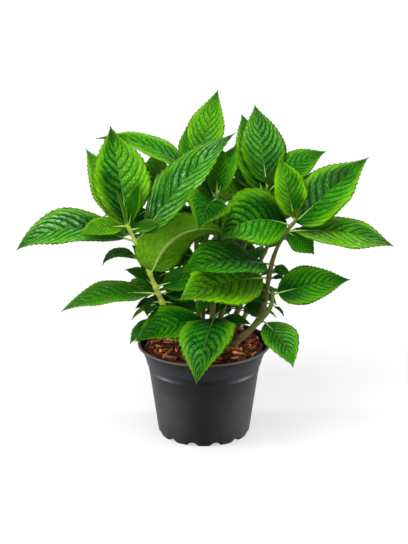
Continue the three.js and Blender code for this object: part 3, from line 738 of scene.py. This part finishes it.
# The leaves. Columns are shares of the half width, from the midrib to the margin. Each tooth takes three
# steps along the blade, and toothOut and toothOn say how far each stands out and leans on, in tooth depths.
blade = {
    "curl": 0.1, "thick": 0.55, "wave": 0.05, "waves": 15, "lag": 0.06, "bend": 1.3,
    "leastHalf": 0.4, "footHalf": 1.4,
    "quilt": 1.6, "quiltMost": 1.15, "quiltSharp": 2.4, "quiltLevel": 0.62,
    "veins": 10.5, "veinLean": (0.15, 0.2), "veinStagger": 0.45, "sway": 0.016, "ripple": 0.01,
    "tooth": 0.0152, "toothOut": (-0.5, 0.1, 0.6), "toothOn": (0, 0.1, 0.85), "teeth": 21, "smallTeeth": 9,
    "rib": 1.4, "ribTop": 0.35, "ribWidth": 1.1, "ribTaper": 0.75, "ribDrop": 0.5,
    "stalkShares": (0, 0, 0.3, 0.6, 0.85, 1), "stalkRadii": (0, 1.4, 1.2, 1.1, 1.15, 1.2), "stalkSides": 10,
    "stalkRise": 0.75, "stalkLift": 0.1,
    "ribShares": (0.03, 0.1, 0.2, 0.3, 0.3), "ribRadii": (1.15, 0.95, 0.7, 0.45, 0),
    "broadFrom": 66, "columns": [0, 0.045, 0.14, 0.27, 0.41, 0.56, 0.71, 0.86, 1],
    "smallColumns": [0, 0.07, 0.25, 0.45, 0.65, 0.84, 1], "cells": (9, 8), "smallCells": (15, 14), "seed": 3,
    "tones": [(0.0, (0.0006, 0.095, 0.0006)), (0.25, (0.003, 0.175, 0.001)), (0.5, (0.020, 0.320, 0.002)),
              (0.75, (0.090, 0.480, 0.006)), (1.0, (0.290, 0.720, 0.020))],
    "stalkTones": [(0, (0.14, 0.30, 0.04)), (1, (0.36, 0.58, 0.10))],
    # the next three greens: painted shade with random mottle, painted light on bulges, painted reflection
    "shadeAndMottle": (0.07, 0.22, 0.10), "litGreen": (0.20, 0.82, 0.010), "coolSheen": (0.09, 0.36, 0.07),
    # then the pale veins, a painted highlight on the margin, and a painted reflection of pale sheen
    "paleVein": (0.42, 0.66, 0.12), "margin": (0.26, 0.74, 0.004), "sheen": (0.33, 0.76, 0.26),
    "underside": (0.23, 0.62, 0.014), "midrib": (0.60, 0.84, 0.22),
    # strengths of the painted shade in the grooves, ladder, net and foot, of random mottling, and of the
    # painted sheen
    "grooveShadeStrength": 0.85, "ladderShadeStrength": 0.42, "netShadeStrength": 0.3, "cloudStrength": 0.68,
    "footShadeStrength": 0.78, "sheenStrength": 0.55, "veinDepth": 0.0032,
}


def leafFrame(spec, pitch, toward):
    # which way the leaf runs, its side and its upper face
    along = Vector((math.cos(pitch) * math.cos(toward), math.cos(pitch) * math.sin(toward), math.sin(pitch)))
    level = Vector((-math.sin(toward), math.cos(toward), 0))
    side = Matrix.Rotation(math.radians(spec["roll"]), 3, along) @ level
    return along, side, along.cross(side)


def bladeOutline(share, belly):
    # the half width as a share of the widest
    return max(math.sin(math.pi * share ** belly), 0) ** (0.8 + 0.5 * share)


def leafPath(spec, root, steps):
    # the stalk's path, then the frame of the blade at each step along its midrib
    toward, rise = math.radians(spec["toward"]), math.radians(spec["rise"])
    along, side, up = leafFrame(spec, rise * blade["stalkRise"] + blade["stalkLift"], toward)
    foot = root + along * spec["stalk"]
    stalk = [(root + along * spec["stalk"] * s, side, up) for s in blade["stalkShares"]]
    frames = []
    at = foot.copy()
    for i in range(steps + 1):
        bend = max(0, i / steps - blade["lag"]) ** blade["bend"]
        along, side, up = leafFrame(spec, rise - math.radians(spec["droop"]) * bend,
                                    toward + math.radians(spec["sweep"]) * bend)
        frames.append((at.copy(), along, side, up))
        at = at + along * (spec["length"] / steps)
    return stalk, frames


def veinCourse(share, across, habit, right):
    # counts the side veins passed on the way up the blade; a whole number lies on a vein
    span = abs(across)
    straight, bent = blade["veinLean"]
    climb = share - straight * span - bent * span * span
    sway = blade["sway"] * math.sin(10 * share + habit[0] + (1.9 if right else 0))
    sway += blade["ripple"] * math.sin(27 * share + 6 * across)
    return (climb + sway * span) * blade["veins"] + (blade["veinStagger"] if right else 0) + habit[1]


def growLeaf(skin, stems, spec, root, dice, teeth, columns):
    # one leaf: two bent sheets welded at the toothed margin, on a tapering stalk
    steps = teeth * 3
    stalk, frames = leafPath(spec, root, steps)
    half, length, tone = spec["width"] / 2, spec["length"], spec["tone"]
    habit, waver = (dice.random() * anyTurn, dice.random()), dice.random() * anyTurn
    quilt = blade["quilt"] * min(blade["quiltMost"], length / 100)
    toothDepth = blade["tooth"] * (length + 25)
    spread = [-c for c in reversed(columns[1:])] + columns
    last = len(spread) - 1

    def place(i, j, under):
        at, along, side, up = frames[i]
        share, across = i / steps, spread[j]
        span = abs(across)
        wide = max(half * bladeOutline(share, spec["belly"]), blade["leastHalf"] if i else blade["footHalf"])
        fold = math.radians(spec["fold"]) * min(1, share * 4)
        lift = wide * (span * math.sin(fold) - blade["curl"] * span * span)
        wave = math.sin(share * blade["waves"] + waver + (2 if across > 0 else 0))
        lift += wide * blade["wave"] * wave * span * span
        # the blade swells between its veins, but not at its ends, margin and midrib
        ends = min(1, share * 7) * min(1, (1 - share) * 5)
        near = abs(2 * (veinCourse(share, across, habit, across > 0) % 1) - 1)
        swell = 1 - near ** blade["quiltSharp"] - blade["quiltLevel"]
        lift += quilt * swell * ends * (1 - span ** 5) * min(1, span * 5)
        out = wide * across * math.cos(fold)
        forward = 0
        if span == 1 and 0 < i < steps:
            tooth = toothDepth * min(1, share * 4) * min(1, (1 - share) * 4 + 0.15)
            out += math.copysign(tooth * blade["toothOut"][i % 3], across)
            forward = tooth * blade["toothOn"][i % 3]
        if span < 1 and 0 < i < steps:
            rib = math.exp(-((span * wide / blade["ribWidth"]) ** 2)) * (1 - blade["ribTaper"] * share)
            body = blade["thick"] * (1 - span * span)
            lift += -body / 2 - blade["rib"] * rib if under else body / 2 - blade["ribTop"] * rib
        return (at + side * out + up * lift + along * forward) * mm

    def course(i, j, right):
        # for the finish: veins passed, the level of painted sheen, and how far along the blade in units of 40
        # mm
        return veinCourse(i / steps, spread[j], habit, right), spec["sheenLevel"], i / steps * length / 40

    # painted light and shade of the fold: one half of the blade is lighter and the other darker
    halves = [blendTones(blade["tones"], tone + lean) for lean in (-spec["lean"], spec["lean"])]
    top, base = [skin.sheet(steps, last, lambda i, j: place(i, j, under), lambda s, right: halves[right],
                            (tone, under, spec["edgeLight"]), course) for under in (0, 1)]
    for spot, vert in base.items():
        if spot[0] in (0, steps) or spot[1] in (0, last):
            skin.welds[vert] = top[spot]
    # the stalk runs on under the blade as its midrib
    slim = 0.65 + 0.35 * min(1, length / 80)
    path = [(m * mm, s, u, r * slim * mm) for (m, s, u), r in zip(stalk, blade["stalkRadii"])]
    for k, r in zip(blade["ribShares"], blade["ribRadii"]):
        at, along, side, up = frames[round(k * steps)]
        path.append(((at - up * blade["ribDrop"]) * mm, side, up, r * slim * mm))
    stalkTint = blendTones(blade["stalkTones"], tone)
    stems.tube(path, blade["stalkSides"], lambda s, right: stalkTint, (0.0, 1.0, 0.0))


def leafFinish():
    finish = Finish("leafBlade")
    along, across, _ = finish.parts(finish.uv("leafUv"))
    tone, under, edgeLight = finish.parts(finish.trait("traits"))
    course, sheenLevel, reach = finish.parts(finish.trait("veins"))
    tint = finish.trait("tint")
    here = finish.here()
    over = 1 - under
    span = abs(across * 2 - 1)  # 0 on the midrib, 1 at the margin
    near = abs(course.maths("FRACT") * 2 - 1)  # 1 on a side vein, 0 halfway between two
    inner = 1 - span.ease(0.78, 0.97)
    vein = near.ease(0.86, 0.99) * inner
    grooveShade = near.ease(0.66, 0.99) * inner
    midrib = 1 - span.ease(0.01 + 0.09 * under, 0.05 + 0.15 * under)
    # the small veins: a ladder between the side veins, and a finer net
    ladder = finish.cells(finish.join(course * 2.8, span * 8.5, 0.37), 1.0).ease(0.0, 0.2)
    net = 1 - finish.cells(finish.join(reach * 34, span * 20, 0.0), 1.0).ease(0.0, 0.2)
    blotch = finish.noise(here, 70)
    cloud = finish.noise(here, 24, 3)
    grain = finish.noise(here, 900, 2)
    # patches between the veins where the painted sheen lies
    sheenPatch = finish.noise(here, 30).ease(0.38, 0.58) * (1 - near.ease(0.15, 0.7)) * ladder
    # painted light on the bulges between the side veins, more towards the tip and in blotches
    lit = (blotch.ease(0.3, 0.7) * 0.55 + along.ease(0.1, 0.9) * 0.4) * (tone + 0.25)
    # painted shade: the foot of the blade by the midrib is darkened on the upper face
    foot = (1 - along.ease(0.0, 0.6)) * (1 - span.ease(0.3, 1.0))
    # a darker green, for painted shade and for random mottling
    shadeAndMottle = finish.mix(1.0, tint, blade["shadeAndMottle"], "MULTIPLY")
    # the lighter green of that painted light, laid on the bulges below, less on the underside
    litGreen = finish.mix(0.75, tint, blade["litGreen"])
    colour = finish.mix((1 - near ** 2) * lit * (1 - 0.6 * under), tint, litGreen)
    colour = finish.mix(foot * blade["footShadeStrength"] * over, colour, shadeAndMottle)
    # painted reflection: the whole leaf is paled and cooled by its sheen level
    colour = finish.mix(sheenLevel * 0.25, colour, blade["coolSheen"])
    # painted shade in the sunken side veins of the upper face
    colour = finish.mix(grooveShade * blade["grooveShadeStrength"] * (1 - 0.85 * under), colour, shadeAndMottle)
    # painted shade in the sunken small veins of the ladder and the net
    colour = finish.mix((1 - ladder) * blade["ladderShadeStrength"] + net * blade["netShadeStrength"], colour, shadeAndMottle)
    colour = finish.mix(cloud.ease(0.46, 0.66) * blade["cloudStrength"], colour, shadeAndMottle)
    colour = finish.mix(vein * under * 0.6, colour, blade["paleVein"])
    # painted highlight: the margin is yellowed towards a light yellow-green, more on lighter leaves
    colour = finish.mix(span.ease(0.6, 1.0) * edgeLight * (tone * 0.7 + 0.45), colour, blade["margin"])
    # painted reflection: a pale cool sheen on patches between the veins
    colour = finish.mix(sheenLevel * sheenPatch * blade["sheenStrength"], colour, blade["sheen"])
    colour = finish.mix(under * 0.4, colour, blade["underside"])
    colour = finish.mix(midrib * (0.25 + 0.65 * under), colour, blade["midrib"])
    height = (1 - near ** 1.6) * (1 - midrib) + ladder * 0.5 - net * 0.3 - midrib * 0.4 + blotch * 0.4
    roughness = 0.38 + 0.12 * cloud + 0.14 * under + 0.08 * grain
    # a real clear coat, stronger where the painted sheen is
    finish.feed(finish.shader.inputs["Coat Weight"], sheenLevel * sheenPatch * 0.8 + 0.03)
    return finish.done(colour, roughness, height, blade["veinDepth"], 1.0, Specular_IOR_Level=0.03,
                       Coat_Roughness=0.34)


def growShoots():
    stems = Skin("stemUv", cane["cells"])
    growCanes(stems)
    broad, small = Skin("leafUv", blade["cells"]), Skin("leafUv", blade["smallCells"])
    dice = random.Random(blade["seed"])
    for shoot in shoots.values():
        points = caneCurve(shoot)
        for share, *leaves in shoot["nodes"]:
            root = curvePoint(points, share * cane["nodeShare"])
            for spec in leaves:
                if spec["tone"] is None:
                    spec["tone"] = min(1, max(0, 0.08 + 0.26 * share + 0.24 * dice.random()))
                if spec["length"] > blade["broadFrom"]:
                    growLeaf(broad, stems, spec, root, dice, blade["teeth"], blade["columns"])
                else:
                    growLeaf(small, stems, spec, root, dice, blade["smallTeeth"], blade["smallColumns"])
    print("sheets", broad.count, small.count, stems.count)
    leafNodes = [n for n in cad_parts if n.startswith("leaves_")]
    caneNodes = [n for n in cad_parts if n.startswith("cane_")]
    finish = leafFinish()
    broad.finish("broadLeaves", finish, "leaf_green", leafNodes)
    small.finish("smallLeaves", finish, "leaf_green", leafNodes)
    stems.finish("stems", stemFinish(), "cane_bark", caneNodes)


# The studio: a pale floor that glows a little, an even room, a wide sun from the upper left in front, a weak
# one from behind, and a narrow strip on each side that lights the flanks of the pot
studio = {
    "elevation": 18.5, "distance": 2.6, "aim": (0, 0, 0.190), "width": 0.456, "sensor": 36, "clip": 50,
    "floorRadius": 9.0, "floorSides": 96, "floorDark": (0.16, 0.16, 0.16), "floorLight": (0.18, 0.18, 0.18),
    "glow": 0.55, "room": 0.98,
    "suns": (("key", (-0.65, -0.8, 2.3), 40, 4.5), ("top", (0.9, 0.6, 2.4), 60, 1.0)),  # place, spread, power
    "strips": (("leftStrip", (-0.55, -0.04, 0.05), 0.62),
               ("rightStrip", (0.55, -0.02, 0.05), 0.58)),  # place, power
    "stripSize": (0.3, 0.06), "stripSpread": 23, "stripAim": (0, 0, 0.03),
}


def floorFinish():
    finish = Finish("paleFloor")
    grain = finish.noise(finish.here(), 3, 3)
    return finish.done(finish.mix(grain, studio["floorDark"], studio["floorLight"]), 0.8,
                       Emission_Color=(1, 1, 1, 1), Emission_Strength=studio["glow"])


def linkNew(name, data):
    made = bpy.data.objects.new(name, data)
    bpy.context.scene.collection.objects.link(made)
    return made


def hangLamp(name, light, place, aim):
    lamp = linkNew(name, light)
    lamp.location = place
    lamp.rotation_euler = (Vector(aim) - Vector(place)).to_track_quat("-Z", "Y").to_euler()
    return lamp


def makeStudio():
    bm = bmesh.new()
    bmesh.ops.create_circle(bm, cap_ends=True, segments=studio["floorSides"], radius=studio["floorRadius"])
    mesh = bpy.data.meshes.new("floor")
    bm.to_mesh(mesh)
    bm.free()
    mesh.materials.append(floorFinish())
    linkNew("floor", mesh)
    world = bpy.data.worlds.new("softRoom")
    world.use_nodes = True
    world.node_tree.nodes["Background"].inputs["Color"].default_value = (1, 1, 1, 1)
    world.node_tree.nodes["Background"].inputs["Strength"].default_value = studio["room"]
    bpy.context.scene.world = world
    for name, place, spread, power in studio["suns"]:
        light = bpy.data.lights.new(name, "SUN")
        light.angle = math.radians(spread)
        light.energy = power
        hangLamp(name, light, place, (0, 0, 0))
    for name, place, power in studio["strips"]:
        light = bpy.data.lights.new(name, "AREA")
        light.shape = "RECTANGLE"
        light.size, light.size_y = studio["stripSize"]
        light.spread = math.radians(studio["stripSpread"])
        light.energy = power
        hangLamp(name, light, place, studio["stripAim"]).visible_camera = False


def makeCamera():
    camera = bpy.data.cameras.new("camera")
    camera.sensor_fit = "HORIZONTAL"
    camera.sensor_width = studio["sensor"]
    camera.lens = studio["sensor"] * studio["distance"] / studio["width"]
    camera.clip_end = studio["clip"]
    eye = linkNew("camera", camera)
    tilt = math.radians(studio["elevation"])
    eye.location = Vector(studio["aim"]) + Vector((0, -math.cos(tilt), math.sin(tilt))) * studio["distance"]
    eye.rotation_euler = (math.pi / 2 - tilt, 0, 0)
    bpy.context.scene.camera = eye
    bpy.context.scene.view_settings.view_transform = "Standard"


growShoots()
makePot()
makeBark()
makeStudio()
makeCamera()
print("studio set")
